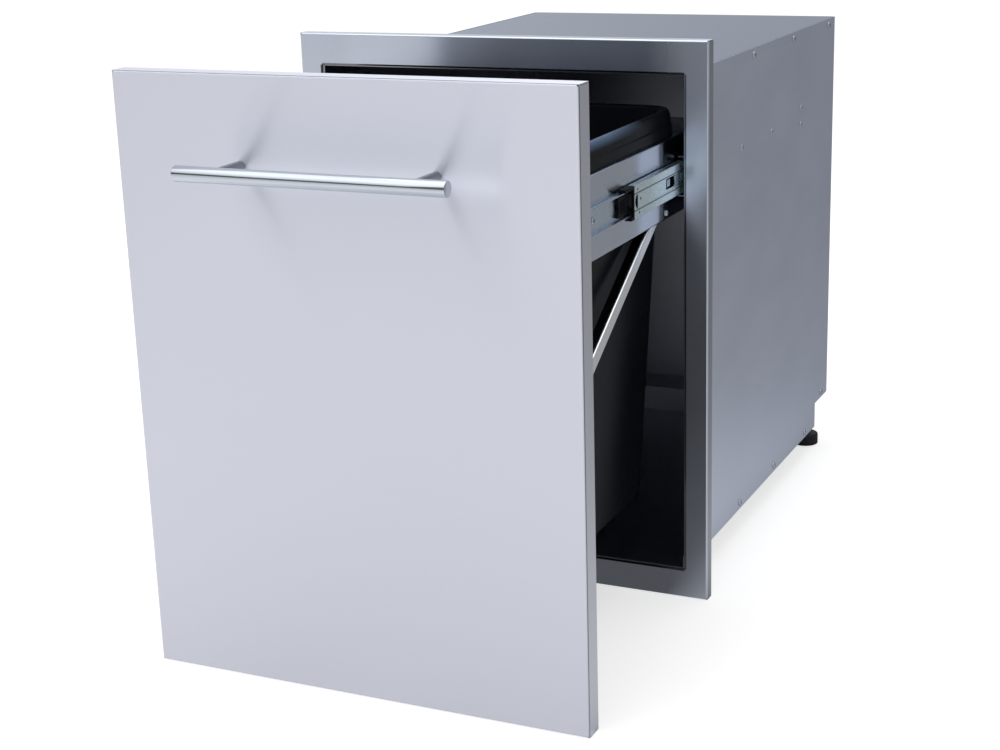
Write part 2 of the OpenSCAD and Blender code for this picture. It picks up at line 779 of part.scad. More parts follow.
module handle_bar() {
    cap = 0.8;
    color(steel) difference() {
        translate([-handle_l / 2, handle_y, handle_z]) rotate([0, 90, 0]) rotate_extrude($fn = 64)
            polygon([[0, 0], [handle_d / 2 - cap, 0], [handle_d / 2, cap], [handle_d / 2, handle_l - cap],
                     [handle_d / 2 - cap, handle_l], [0, handle_l]]);
        for (side = [-1, 1]) translate([side * post_gap / 2, handle_y, handle_z]) rotate([-90, 0, 0])
            cylinder(d = post_d, h = handle_d, $fn = 48);
    }
}

module handle_posts() {
    color(steel) for (side = [-1, 1]) translate([side * post_gap / 2, handle_y, handle_z]) rotate([-90, 0, 0])
        difference() {
            cylinder(d = post_d, h = handle_reach, $fn = 48);
            translate([0, 0, handle_reach - bolt_grip - 2]) cylinder(d = bolt_d, h = bolt_grip + 3, $fn = 32);
        }
}

// Square plates welded behind the skin where the posts pull
module handle_backing() {
    color(steel) for (side = [-1, 1]) difference() {
        plate([side * post_gap / 2 - backing_w / 2, skin_y + skin_t, handle_z - backing_w / 2],
              [backing_w, backing_t, backing_w]);
        hole_y(skin_y, [side * post_gap / 2, handle_z], bolt_d + bolt_fit);
    }
}

module handle_screws() {
    head_y = skin_y + skin_t + backing_t;
    grip = bolt_grip + skin_t + backing_t;
    color(zinc) for (side = [-1, 1]) translate([side * post_gap / 2, 0, handle_z]) rotate([-90, 0, 0]) {
        translate([0, 0, head_y]) cylinder(d = 1.8 * bolt_d, h = 0.7 * bolt_d, $fn = 6);
        translate([0, 0, head_y - grip]) cylinder(d = bolt_d, h = grip, $fn = 32);
    }
}

// ---- Drawer frame ----

// Places on the drawer front's back: rail tabs, front bar and brace feet, as [x, z]
tab_x = rail_x - rail_tab / 2 - 1;
function tab_screws() = [for (s = [-1, 1], k = [0.2, 0.8]) [s * tab_x, rail_z + k * rail_h]];
function bar_screws() = [for (s = [-1, 1]) [s * rail_x / 2, rail_z + rail_h / 2]];
function foot_screws() = [for (s = [-1, 1], k = [-1, 1]) [s * brace_mid, brace_foot + k * brace_hole]];

module rail(side) {
    color(steel) at_side(side) difference() {
        union() {
            translate([rail_x, rail_back, rail_z]) rotate([90, 0, 0]) linear_extrude(rail_l) mirror([1, 0])
                folded_channel(rail_h, rail_lip, rail_t, rail_r);
            // tab turned in across the front end
            plate([rail_x - rail_tab, liner_y, rail_z + rail_t],
                  [rail_tab - rail_t, rail_t, rail_h - 2 * rail_t]);
        }
        // the lower lip is cut away where the brace comes through
        plate([rail_x - rail_lip - 1, liner_y + brace_run - 2 * brace_w, rail_z - 1],
              [rail_lip + 1 - rail_t, 2 * brace_w + brace_tab + 2, rail_r + 1]);
        for (p = tab_screws()) if (p[0] > 0) hole_y(liner_y, p);
        for (p = concat(slide_screw_places(), rear_screws(), [brace_pin])) hole_x(rail_x, p);
    }
}
module left_rail() { rail(-1); }
module right_rail() { rail(1); }

// Bar behind the drawer front, between the rails' tabs, with a lip under the bin's rim
module front_crossbar() {
    half = rail_x - rail_tab - 0.5;
    lip = bin_gap + rim_end - 8;
    color(steel) difference() {
        translate([-half, liner_y, rail_z]) rotate([90, 0, 90]) linear_extrude(2 * half)
            folded_channel(rail_h, lip, rail_t, rail_r);
        for (p = bar_screws()) hole_y(liner_y, p);
    }
}

// Angle under the back of the bin's rim, its ends between the rails' lips
module bin_crossbar() {
    half = rail_x - rail_t;
    y1 = bin_y1 - 1;
    lip = rim_end - 6;
    drop = 30;
    between = rail_x - rail_lip;
    color(steel) {
        plate([-half, y1 - rail_t, rail_top - drop], [2 * half, rail_t, drop - rail_r]);
        translate([-between, y1, rail_top]) rotate([90, 0, 90]) linear_extrude(2 * between)
            rotate(180) folded_angle(drop, lip, rail_t, rail_r);
    }
}

// Channel across the back of the rails, with tabs turned forward inside them
rear_tab = 22;
function rear_screws() = [for (k = [0.12, 0.88]) [rail_back - rear_tab / 2, rail_z + k * rail_h]];

module rear_crossbar() {
    half = rail_x - rail_t;
    z0 = rail_z + rail_r;
    h = rail_h - 2 * rail_r;
    color(steel) difference() {
        translate([-half, rail_back, z0]) linear_extrude(h) rotate(-90)
            folded_channel(2 * half, rear_tab, rail_t, rail_r);
        for (s = [-1, 1], p = rear_screws()) hole_x(s * half, p);
    }
}

// ---- Braces ----

brace_x = rail_x - rail_t;                          // outer face of a brace
brace_mid = brace_x - brace_w / 2;
brace_top_y = liner_y + brace_run;
brace_rise = brace_run * tan(brace_tilt);
brace_foot = rail_z - brace_rise;                   // height where the brace's axis meets the front
brace_hole = 14;
brace_pin_set = 16;                                 // distance of the pin from the tab's end
brace_pin = [brace_top_y + brace_tab - brace_pin_set, rail_z + brace_w / 2 + 1];

// Height of the braces' upper edge at a place along the slope
brace_half = brace_w / 2 / cos(brace_tilt);
function brace_edge(y) = brace_foot + brace_half + (y - liner_y) * tan(brace_tilt);
function brace_meets(z) = liner_y + (z - brace_foot - brace_half) / tan(brace_tilt);

// Side view of a brace's leg: sloping strip, then a level tab inside the rail
module brace_side() {
    low = rail_z + rail_t;
    high = low + brace_w;
    end = brace_top_y + brace_tab;
    polygon([[liner_y, brace_foot - brace_half], [liner_y, brace_foot + brace_half],
             [brace_meets(high), high], [end, high], [end, low], [brace_meets(low + 2 * brace_half), low]]);
}

// Side view of the upper leg: a strip under the slope's upper edge, stopped short of the rail
module brace_leg_side() {
    end = brace_top_y - 8;
    thick = brace_t / cos(brace_tilt);
    polygon([[liner_y, brace_edge(liner_y)], [end, brace_edge(end)],
             [end, brace_edge(end) - thick], [liner_y, brace_edge(liner_y) - thick]]);
}

module brace(side) {
    color(steel) at_side(side) difference() {
        union() {
            translate([brace_x - brace_t, 0, 0]) rotate([90, 0, 90]) linear_extrude(brace_t) brace_side();
            translate([brace_x - brace_w, 0, 0]) rotate([90, 0, 90]) linear_extrude(brace_w) brace_leg_side();
            // foot turned flat on the drawer front's back
            plate([brace_x - brace_w, liner_y, brace_foot - brace_hole - 8],
                  [brace_w, brace_t, 2 * (brace_hole + 8)]);
        }
        for (p = foot_screws()) if (p[0] > 0) hole_y(liner_y, p);
        hole_x(brace_x, brace_pin);
    }
}
module left_brace() { brace(-1); }
module right_brace() { brace(1); }

// Screw along -Y into the drawer front's back, head on the +Y side
module back_screw(p, t) {
    translate([p[0], liner_y + t, p[1]]) rotate([0, 0, 90]) pan_screw(t + 2 * skin_t + 3);
}

module frame_screws() {
    color(zinc) {
        for (p = tab_screws()) back_screw(p, rail_t);
        for (p = bar_screws()) back_screw(p, rail_t);
        for (s = [-1, 1], p = rear_screws()) at_side(s)
            translate([rail_x, p[0], p[1]]) pan_screw(2 * rail_t + 2);
    }
}

module brace_screws() {
    color(zinc) {
        for (p = foot_screws()) back_screw(p, brace_t);
        for (s = [-1, 1]) at_side(s)
            translate([rail_x, brace_pin[0], brace_pin[1]]) pan_screw(rail_t + brace_t + 2);
    }
}

// ---- Bin ----

wall_w = bin_w - 2 * rim_side;
wall_l = bin_l - 2 * rim_end;

bin_mid = (bin_y0 + bin_y1) / 2;
base_rise = 4;

// Thin slice of the wall's outline at height z, less an inset
module wall_slice(inset, z) {
    cut = 2 * (inset + bin_taper * (bin_top - z));
    translate([0, bin_mid, z]) linear_extrude(0.01)
        rounded_rect(wall_w - cut, wall_l - cut, rim_r - 4 - inset, $fn = 32);
}

// Tapered block between two heights, less an inset
module bin_body(inset, z0, z1) {
    hull() {
        wall_slice(inset, z0);
        wall_slice(inset, z1 - 0.01);
    }
}

// Straight rounded block of the rim, shrunk by an inset, from z0 to z1
module rim_block(inset, z0, z1) {
    translate([0, bin_mid, z0]) linear_extrude(z1 - z0)
        rounded_rect(bin_w - 2 * inset, bin_l - 2 * inset, rim_r - inset);
}

module bin() {
    step_z = rail_top + rim_up * 0.42;
    inset = 1;
    lift = 0.4;                                     // air between the rim and the rails' lips
    color(black) difference() {
        union() {
            bin_body(0, bin_z, bin_top);
            // rim: skirt, step and rounded top
            rim_block(0, rail_top + lift, step_z);
            rim_block(inset, step_z, bin_top - 3);
            rim_block(inset + 1.2, bin_top - 3, bin_top - 1);
            rim_block(inset + 3, bin_top - 1, bin_top);
        }
        // hollow under the rim, around the wall
        difference() {
            rim_block(inset + bin_t, rail_top - 1, bin_top - bin_t - 3);
            bin_body(0, bin_z, bin_top);
        }
        bin_body(bin_t, bin_z + base_rise + bin_t, bin_top + 1);
        // the base is raised inside a foot ring
        bin_body(12, bin_z - 1, bin_z + base_rise);
    }
}

face_frame();
left_side();
right_side();
top_panel();
bottom_panel();
back_panel();
shell_screws();
foot_nuts();
left_foot();
right_foot();
left_cabinet_slide();
right_cabinet_slide();
slide_rivets();
left_slide_stop();
right_slide_stop();
left_outer_cage();
right_outer_cage();
left_outer_balls();
right_outer_balls();
left_middle_slide();
right_middle_slide();
left_slide_nose();
right_slide_nose();
left_inner_cage();
right_inner_cage();
left_inner_balls();
right_inner_balls();
left_drawer_slide();
right_drawer_slide();
left_release_lever();
right_release_lever();
slide_screws();
front_skin();
front_liner();
front_bumpers();
handle_bar();
handle_posts();
handle_backing();
handle_screws();
left_rail();
right_rail();
front_crossbar();
bin_crossbar();
rear_crossbar();
left_brace();
right_brace();
frame_screws();
brace_screws();
bin();
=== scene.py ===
import json
import math

import bmesh
import bpy
from mathutils import Matrix, Vector


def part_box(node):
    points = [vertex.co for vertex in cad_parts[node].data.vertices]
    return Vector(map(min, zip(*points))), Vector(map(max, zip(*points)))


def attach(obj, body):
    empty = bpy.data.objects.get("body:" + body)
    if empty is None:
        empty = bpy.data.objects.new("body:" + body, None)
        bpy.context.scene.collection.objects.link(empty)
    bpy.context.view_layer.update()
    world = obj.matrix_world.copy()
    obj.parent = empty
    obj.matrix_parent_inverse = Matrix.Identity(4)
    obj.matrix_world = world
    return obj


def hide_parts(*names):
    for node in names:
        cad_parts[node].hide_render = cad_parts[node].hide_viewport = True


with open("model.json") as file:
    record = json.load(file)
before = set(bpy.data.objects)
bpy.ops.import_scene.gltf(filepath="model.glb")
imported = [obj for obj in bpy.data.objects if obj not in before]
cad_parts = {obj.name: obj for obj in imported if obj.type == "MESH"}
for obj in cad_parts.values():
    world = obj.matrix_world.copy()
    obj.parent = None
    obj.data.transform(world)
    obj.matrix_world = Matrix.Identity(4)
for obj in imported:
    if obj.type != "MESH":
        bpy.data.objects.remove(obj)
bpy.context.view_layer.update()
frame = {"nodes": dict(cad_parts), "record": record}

nodes = frame["nodes"]
record = frame["record"]
slotOf = {part["node"]: part["material_slot"] for part in record["subparts"]}
bodyOf = {node: body for body, members in record["behaviour"]["bodies"].items() for node in members}
scene = bpy.context.scene
scene.view_settings.view_transform = "Standard"
keyWay = Vector((-0.82, -0.52, 0.15)).normalized()  # the side that the studio's light comes from
mergeGap = 1e-6                                     # vertices that are closer than this are one
onPlane = 0.0001                                    # an edge this near to a plane lies on it


def emptyTree(owner, output):
    # the node tree of a material or a world, with nothing in it but its output
    owner.use_nodes = True
    tree = owner.node_tree
    tree.nodes.clear()
    return tree, tree.nodes.new(output)


def plug(tree, socket, value):
    # the value is another node's output, or what the input itself is set to
    if isinstance(value, bpy.types.NodeSocket):
        tree.links.new(value, socket)
    else:
        socket.default_value = (*value, 1) if socket.type == "RGBA" else value


def addNode(tree, kind, **settings):
    # each setting is an input, or else a property of the node
    node = tree.nodes.new(kind)
    for name, value in settings.items():
        if name in node.inputs:
            plug(tree, node.inputs[name], value)
        else:
            setattr(node, name, value)
    return node


def maths(tree, operation, first, second=0.0):
    node = addNode(tree, "ShaderNodeMath", operation=operation)
    plug(tree, node.inputs[0], first)
    plug(tree, node.inputs[1], second)
    return node.outputs["Value"]


def vectorMaths(tree, operation, first, second, result="Vector"):
    node = addNode(tree, "ShaderNodeVectorMath", operation=operation)
    plug(tree, node.inputs[0], first)
    plug(tree, node.inputs[1], second)
    return node.outputs[result]


def axesOf(tree, vector):
    return addNode(tree, "ShaderNodeSeparateXYZ", Vector=vector).outputs


def scaledPlace(tree, scale=(1, 1, 1)):
    # object coordinates, stretched so that a pattern follows the rolling or brushing
    coords = addNode(tree, "ShaderNodeTexCoord")
    place = addNode(tree, "ShaderNodeMapping", Vector=coords.outputs["Object"], Scale=scale)
    return place.outputs["Vector"]


def noise(tree, vector, detail, roughness):
    tex = addNode(tree, "ShaderNodeTexNoise", Vector=vector, Scale=1.0, Detail=detail,
                  Roughness=roughness)
    return tex.outputs["Fac"]


def spread(tree, value, low, high, start=0.3, end=0.7):
    # from low to high as the value goes from start to end
    ends = {"From Min": start, "From Max": end, "To Min": low, "To Max": high}
    return addNode(tree, "ShaderNodeMapRange", Value=value, **ends).outputs["Result"]


def mixed(tree, first, second, share):
    mix = addNode(tree, "ShaderNodeMix", data_type="FLOAT", A=first, B=second, Factor=share)
    return mix.outputs["Result"]


def blended(tree, first, second, share, way="MIX"):
    # from one colour to another, or to the product of both, as the share goes from 0 to 1
    mix = addNode(tree, "ShaderNodeMix", data_type="RGBA", blend_type=way, A=first, B=second,
                  Factor=share)
    return mix.outputs["Result"]


def darkened(tree, colour, share, where):
    # only this share of the colour is left where the mask is 1
    return blended(tree, colour, (share, share, share), where, "MULTIPLY")


def bumped(tree, value, strength, distance):
    bump = addNode(tree, "ShaderNodeBump", Height=value, Strength=strength, Distance=distance)
    return bump.outputs["Normal"]


def acrossGrain(tree, way):
    # the direction in which metal that is brushed one way smears what it mirrors
    surface = addNode(tree, "ShaderNodeNewGeometry")
    return vectorMaths(tree, "CROSS_PRODUCT", surface.outputs["Normal"], way)


def paintedShadeInside(tree, colour, share, middle):
    # painted shade: the faces that look towards the middle of the cabinet are made darker
    coords = addNode(tree, "ShaderNodeTexCoord")
    away = vectorMaths(tree, "SUBTRACT", coords.outputs["Object"], middle)
    facing = vectorMaths(tree, "DOT_PRODUCT", away, coords.outputs["Normal"], "Value")
    return darkened(tree, colour, share, maths(tree, "LESS_THAN", facing, 0.0))


def beyond(tree, half, extra=1.0, soft=0.00002):
    # an addition past a distance to either side of the centre plane, which it reaches softly
    distance = maths(tree, "ABSOLUTE", axesOf(tree, scaledPlace(tree))["X"])
    return spread(tree, distance, 0.0, extra, half - soft, half)


def paintedShadeBeyond(tree, colour, half, share):
    # painted shade: the edge strip that faces sideways is made darker than the front
    return darkened(tree, colour, share, beyond(tree, half))


def paintedShadeWithin(tree, colour, half, share):
    # painted shade: the part nearer the centre plane than that is made darker
    return darkened(tree, colour, share, maths(tree, "SUBTRACT", 1.0, beyond(tree, half)))


def outlined(tree, colour, halfWidth, middle, halfHeight, front, width, darkWidth, share):
    # a thin darker line along the folds around a front face
    axes = axesOf(tree, scaledPlace(tree))
    across = maths(tree, "SUBTRACT", maths(tree, "ABSOLUTE", axes["X"]), halfWidth)
    along = maths(tree, "ABSOLUTE", maths(tree, "SUBTRACT", axes["Z"], middle))
    outward = maths(tree, "MAXIMUM", across, maths(tree, "SUBTRACT", along, halfHeight))
    near = spread(tree, outward, 0.0, 1.0, -width, -darkWidth)
    near = maths(tree, "MULTIPLY", near, maths(tree, "LESS_THAN", axes["Y"], front))
    return darkened(tree, colour, share, near)


def paintedCreaseShadows(tree, colour, level, off, half, share):
    # painted shadow along the two creases that run at the same distance above and below a level
    away = maths(tree, "SUBTRACT", axesOf(tree, scaledPlace(tree))["Z"], level)
    gap = maths(tree, "SUBTRACT", maths(tree, "ABSOLUTE", away), off)
    near = spread(tree, maths(tree, "ABSOLUTE", gap), 1.0, 0.0, half / 2, half)
    return darkened(tree, colour, share, near)


def paintedRimHighlight(tree, colour, worn, low, high, front, back):
    # painted highlight: a pale band along the plastic's top edge, strongest towards the front and
    # gone towards the back
    axes = axesOf(tree, scaledPlace(tree))
    above = spread(tree, axes["Z"], 0.0, 1.0, low, high)
    ahead = spread(tree, axes["Y"], 1.0, 0.0, front, back)
    return blended(tree, colour, worn, maths(tree, "MULTIPLY", above, ahead))


# the painted shade and darker lines that a steel look may add to its plain tone, in the order in
# which they are laid on
darkenings = {"inside": paintedShadeInside, "within": paintedShadeWithin, "strip": paintedShadeBeyond,
            "outline": outlined, "crease": paintedCreaseShadows}


def brushedSteel(name, look):
    # fine grain that runs one way, slow clouds of tone from handling, and a smear across the grain
    mat = bpy.data.materials.new(name)
    tree, out = emptyTree(mat, "ShaderNodeOutputMaterial")
    grain = noise(tree, scaledPlace(tree, look["grain"]), detail=3.0, roughness=0.6)
    cloud = noise(tree, scaledPlace(tree, look["cloud"]), detail=2.0, roughness=0.5)
    both = mixed(tree, grain, cloud, look["cloudShare"])
    lightness = spread(tree, both, 0.0, 1.0, start=0.2, end=0.8)
    tone = blended(tree, look["dark"], look["light"], lightness)
    # the look's painted shade and darker lines go on here
    for darkening, layOn in darkenings.items():
        if darkening in look:
            tone = layOn(tree, tone, **look[darkening])
    roughness = spread(tree, both, *look["roughness"])
    metallic = 1.0
    if "stile" in look:
        stile = look["stile"]
        rougher = beyond(tree, stile["half"], stile["rougher"], stile["soft"])
        roughness = maths(tree, "ADD", roughness, rougher)
        paler = beyond(tree, stile["half"], -stile["paler"], stile["soft"])
        metallic = maths(tree, "ADD", paler, 1.0)
    shader = addNode(tree, "ShaderNodeBsdfPrincipled", Metallic=metallic, Roughness=roughness,
                     Anisotropic=look["smear"], Tangent=acrossGrain(tree, look["way"]),
                     Normal=bumped(tree, grain, look["bump"], distance=0.0001))
    plug(tree, shader.inputs["Base Color"], tone)
    if "edge" in look:
        plug(tree, shader.inputs["Specular Tint"], look["edge"])
    plug(tree, out.inputs["Surface"], shader.outputs["BSDF"])
    return mat


def mouldedPlastic(name, look):
    # dark moulded plastic or rubber: fine spark-eroded texture and a slow change of sheen
    mat = bpy.data.materials.new(name)
    tree, out = emptyTree(mat, "ShaderNodeOutputMaterial")
    grain = noise(tree, scaledPlace(tree, look["grain"]), detail=4.0, roughness=0.65)
    cloud = noise(tree, scaledPlace(tree, look["cloud"]), detail=2.0, roughness=0.5)
    tone = blended(tree, look["dark"], look["light"], spread(tree, cloud, 0.0, 1.0))
    # painted highlight along the top edge, where the look asks for one
    if "scuff" in look:
        tone = paintedRimHighlight(tree, tone, **look["scuff"])
    shader = addNode(tree, "ShaderNodeBsdfPrincipled",
                     Roughness=spread(tree, cloud, *look["roughness"]),
                     Normal=bumped(tree, grain, look["bump"], distance=0.0002))
    plug(tree, shader.inputs["Base Color"], tone)
    plug(tree, shader.inputs["Specular IOR Level"], look["gloss"])
    plug(tree, out.inputs["Surface"], shader.outputs["BSDF"])
    return mat


# "grain" and "cloud" say how often a pattern changes in a metre along X, Y and Z, and "way" is
# the direction of the brushing; the other places and widths are in metres
frontLook = {
    "dark": (0.780, 0.806, 0.908), "light": (0.812, 0.838, 0.940), "roughness": (0.33, 0.345),
    "grain": (4, 4, 1500), "bump": 0.002, "way": (1, 0.02, 0), "smear": 1.0,
    "cloud": (3, 3, 4), "cloudShare": 0.7,
    "outline": {"halfWidth": 0.255, "middle": 0.327, "halfHeight": 0.325, "front": -0.3686,
                "width": 0.0011, "darkWidth": 0.00044, "share": 0.35}}
# painted shade: the liner is the front's own steel made much darker
linerPaintedShadeLook = {**frontLook, "dark": (0.26, 0.27, 0.30), "light": (0.32, 0.33, 0.36)}
frameLook = {
    "dark": (0.62, 0.67, 0.78), "light": (0.70, 0.75, 0.86), "roughness": (0.19, 0.21),
    "grain": (5, 5, 1200), "bump": 0.004, "way": (1, 0.02, 0), "smear": 0.6,
    "cloud": (9, 9, 14), "cloudShare": 0.6,
    "stile": {"half": 0.2265, "soft": 0.045, "rougher": 0.13, "paler": 0.09},
    # painted shade on the frame's outer edge strip that faces sideways
    "strip": {"half": 0.25392, "share": 0.50},
    # painted shade on the faces that look towards the middle of the cabinet
    "inside": {"middle": (0, 0.0075, 0.325), "share": 0.35}}
shellLook = {
    "dark": (0.685, 0.735, 0.825), "light": (0.795, 0.845, 0.935), "edge": (0.83, 0.85, 1.0),
    "roughness": (0.34, 0.40), "grain": (4, 4, 900), "bump": 0.01, "way": (0.02, 1, 0),
    "smear": 0.5, "cloud": (10, 8, 18), "cloudShare": 0.8,
    # painted shade on the faces that look towards the middle of the cabinet
    "inside": {"middle": (0, -0.5, 0.32), "share": 0.50}}
topLook = {
    **shellLook,
    "dark": (0.375, 0.400, 0.440), "light": (0.435, 0.460, 0.500), "edge": (0.80, 0.87, 1.0),
    "roughness": (0.22, 0.27), "grain": (900, 4, 4), "way": (0, 1, 0.02),
    # painted shade on the faces that look towards the middle of the cabinet
    "inside": {"middle": (0, -0.5, 0.32), "share": 0.8}}
railLook = {
    "dark": (0.58, 0.64, 0.76), "light": (0.64, 0.70, 0.82), "roughness": (0.15, 0.19),
    "grain": (5, 5, 900), "bump": 0.01, "way": (0, 1, 0.02), "smear": 1.0,
    "cloud": (12, 12, 20), "cloudShare": 0.5}
barLook = {**railLook, "way": (1, 0.02, 0)}
# painted light: an almost white tone as a painted highlight on the brace, whose part nearer the
# middle is made almost black as painted shade
bracePaintedLightLook = {
    **railLook,
    "dark": (0.90, 0.92, 0.96), "light": (0.94, 0.96, 0.99), "roughness": (0.24, 0.27),
    "grain": (60, 60, 60), "bump": 0.001, "smear": 0.2, "within": {"half": 0.2074, "share": 0.05}}
handleLook = {
    "dark": (0.54, 0.58, 0.64), "light": (0.60, 0.64, 0.70), "roughness": (0.10, 0.13),
    "grain": (4, 1500, 1500), "bump": 0.005, "way": (1, 0.02, 0), "smear": 0.3,
    "cloud": (20, 60, 60), "cloudShare": 0.5}
# painted shade: the posts are the handle's own steel made much darker
postPaintedShadeLook = {
    **handleLook,
    "dark": (0.24, 0.26, 0.29), "light": (0.30, 0.32, 0.35),
    "grain": (1500, 4, 1500), "way": (0, 1, 0.02), "cloud": (60, 20, 60)}
zincLook = {
    "dark": (0.54, 0.65, 0.78), "light": (0.68, 0.79, 0.92), "roughness": (0.22, 0.34),
    "grain": (180, 60, 180), "bump": 0.03, "way": (0, 1, 0.02), "smear": 0.0,
    "cloud": (500, 300, 500), "cloudShare": 0.5}
# painted light: a paler copy of the same zinc for the middle member
middlePaintedLightLook = {
    **zincLook,
    "dark": (0.72, 0.90, 0.98), "light": (0.84, 0.99, 1.0),
    # painted shadow along the two steps of the web
    "crease": {"level": 0.499, "off": 0.009, "half": 0.0009, "share": 0.15}}
# painted shade: a much darker copy of the same zinc for the parts inside the cabinet
cabinetPaintedShadeLook = {**zincLook, "dark": (0.18, 0.21, 0.24), "light": (0.24, 0.27, 0.30)}
screwLook = {
    "dark": (0.46, 0.50, 0.55), "light": (0.68, 0.71, 0.75), "roughness": (0.18, 0.30),
    "grain": (900, 900, 900), "bump": 0.03, "way": (0, 1, 0.02), "smear": 0.0,
    "cloud": (300, 300, 300), "cloudShare": 0.5}
ballLook = {
    **screwLook,
    "dark": (0.62, 0.62, 0.64), "light": (0.72, 0.72, 0.74), "roughness": (0.05, 0.10)}
binLook = {
    "dark": (0.0055, 0.0060, 0.0085), "light": (0.009, 0.010, 0.0135), "roughness": (0.24, 0.30),
    "gloss": 0.04, "grain": (900, 900, 900), "bump": 0.08, "cloud": (6, 6, 6),
    # painted highlight: a pale blue band along the top of the rim, towards the front
    "scuff": {"worn": (0.120, 0.182, 0.285), "low": 0.563, "high": 0.572,
              "front": -0.17, "back": -0.07}}
noseLook = {
    "dark": (0.003, 0.004, 0.006), "light": (0.006, 0.008, 0.011), "roughness": (0.32, 0.45),
    "gloss": 0.06, "grain": (1500, 1500, 1500), "bump": 0.1, "cloud": (40, 40, 40)}
rubberLook = {
    "dark": (0.012, 0.013, 0.016), "light": (0.024, 0.026, 0.030), "roughness": (0.5, 0.7),
    "gloss": 0.3, "grain": (1200, 1200, 1200), "bump": 0.25, "cloud": (30, 30, 30)}

finishes = {
    "front_steel": brushedSteel("frontSteel", frontLook),
    "frame_steel": brushedSteel("frameSteel", frameLook),
    "shell_steel": brushedSteel("shellSteel", shellLook),
    "rail_steel": brushedSteel("railSteel", railLook),
    "handle_steel": brushedSteel("handleSteel", handleLook),
    "zinc": brushedSteel("zincPlate", zincLook),
    "ball_steel": brushedSteel("ballSteel", ballLook),
    "nose_plastic": mouldedPlastic("nosePlastic", noseLook),
    "rubber": mouldedPlastic("footRubber", rubberLook),
    "bin_plastic": mouldedPlastic("binPlastic", binLook),
}
topSteel = brushedSteel("topSteel", topLook)
linerPaintedShadeSteel = brushedSteel("linerPaintedShadeSteel", linerPaintedShadeLook)
barSteel = brushedSteel("barSteel", barLook)
bracePaintedLightSteel = brushedSteel("bracePaintedLightSteel", bracePaintedLightLook)
cabinetZinc = brushedSteel("cabinetZinc", cabinetPaintedShadeLook)
screwSteel = brushedSteel("screwSteel", screwLook)
postPaintedShadeSteel = brushedSteel("postPaintedShadeSteel", postPaintedShadeLook)
middleZinc = brushedSteel("middleZinc", middlePaintedLightLook)
for name, obj in nodes.items():
    obj.data.materials.clear()
    obj.data.materials.append(finishes[slotOf[name]])
print("finishes done")


def meshOf(name, bm):
    mesh = bpy.data.meshes.new(name)
    bm.to_mesh(mesh)
    bm.free()
    return mesh


def addObject(name, data):
    obj = bpy.data.objects.new(name, data)
    scene.collection.objects.link(obj)
    return obj


def finishPiece(name, bm, node, finish=None, sharp=32):
    # the bmesh becomes a smooth-shaded piece, on the body of the node that it stands for
    mesh = meshOf(name, bm)
    mesh.shade_smooth()
    mesh.set_sharp_from_angle(angle=math.radians(sharp))
    mesh.materials.append(finish or finishes[slotOf[node]])
    piece = addObject(name, mesh)
    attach(piece, bodyOf[node])
    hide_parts(node)
    return piece


def evenNormals(piece):
    normals = piece.modifiers.new("normals", "WEIGHTED_NORMAL")
    normals.keep_sharp = True


def softenEdges(piece, width):
    # a small round on every crease, with the flats left flat
    bevel = piece.modifiers.new("edges", "BEVEL")
    bevel.width = width
    bevel.segments = 2
    bevel.limit_method = "ANGLE"
    bevel.angle_limit = math.radians(35)
    evenNormals(piece)


def camelName(node):
    words = node.split("_")
    return words[0] + "".join(word.capitalize() for word in words[1:])


def mergedNode(node):
    bm = bmesh.new()
    bm.from_mesh(nodes[node].data)
    bmesh.ops.remove_doubles(bm, verts=bm.verts, dist=mergeGap)
    return bm


def flatNode(node):
    # a merged copy of a CAD solid with its flats made whole
    bm = mergedNode(node)
    bmesh.ops.dissolve_limit(bm, angle_limit=math.radians(0.4), verts=bm.verts, edges=bm.edges)
    return bm


def roundFolds(bm, folds, width):
    bmesh.ops.bevel(bm, geom=folds, offset=width, offset_type="OFFSET", segments=5, profile=0.5,
                    material=-1, affect="EDGES")


def islandsOf(node):
    # the vertices' places of each separate solid in a node
    bm = mergedNode(node)
    left = set(bm.verts)
    found = []
    while left:
        waiting = [left.pop()]
        island = []
        while waiting:
            vert = waiting.pop()
            island.append(vert.co.copy())
            for edge in vert.link_edges:
                other = edge.other_vert(vert)
                if other in left:
                    left.remove(other)
                    waiting.append(other)
        found.append(island)
    bm.free()

    def firstCorner(island):
        return tuple(round(v, 4) for v in min(island, key=lambda p: p[:]))

    return sorted(found, key=firstCorner)


def cornersOf(points):
    low = Vector([min(p[axis] for p in points) for axis in range(3)])
    high = Vector([max(p[axis] for p in points) for axis in range(3)])
    return low, high


def spunBody(profile, steps=48):
    # a closed solid turned about Z from (radius, height) points that start and end on the axis
    bm = bmesh.new()
    verts = [bm.verts.new((radius, 0, height)) for radius, height in profile]
    edges = [bm.edges.new(pair) for pair in zip(verts, verts[1:])]
    bmesh.ops.spin(bm, geom=verts + edges, cent=(0, 0, 0), axis=(0, 0, 1), angle=math.tau,
                   steps=steps, use_merge=True)
    bmesh.ops.remove_doubles(bm, verts=bm.verts, dist=mergeGap)
    bmesh.ops.recalc_face_normals(bm, faces=bm.faces)
    return bm


def turnTo(way):
    # turns +Z to a direction
    return Vector((0, 0, 1)).rotation_difference(Vector(way)).to_matrix().to_4x4()


def setAt(bm, place, way):
    # a body that was spun about Z goes to its place, with its +Z turned to a direction
    bmesh.ops.transform(bm, matrix=Matrix.Translation(place) @ turnTo(way), verts=bm.verts)
    return bm


def gathered(parts):
    # joins bmeshes that are already in place
    whole = bmesh.new()
    for part in parts:
        mesh = meshOf("part", part)
        whole.from_mesh(mesh)
        bpy.data.meshes.remove(mesh)
    return whole


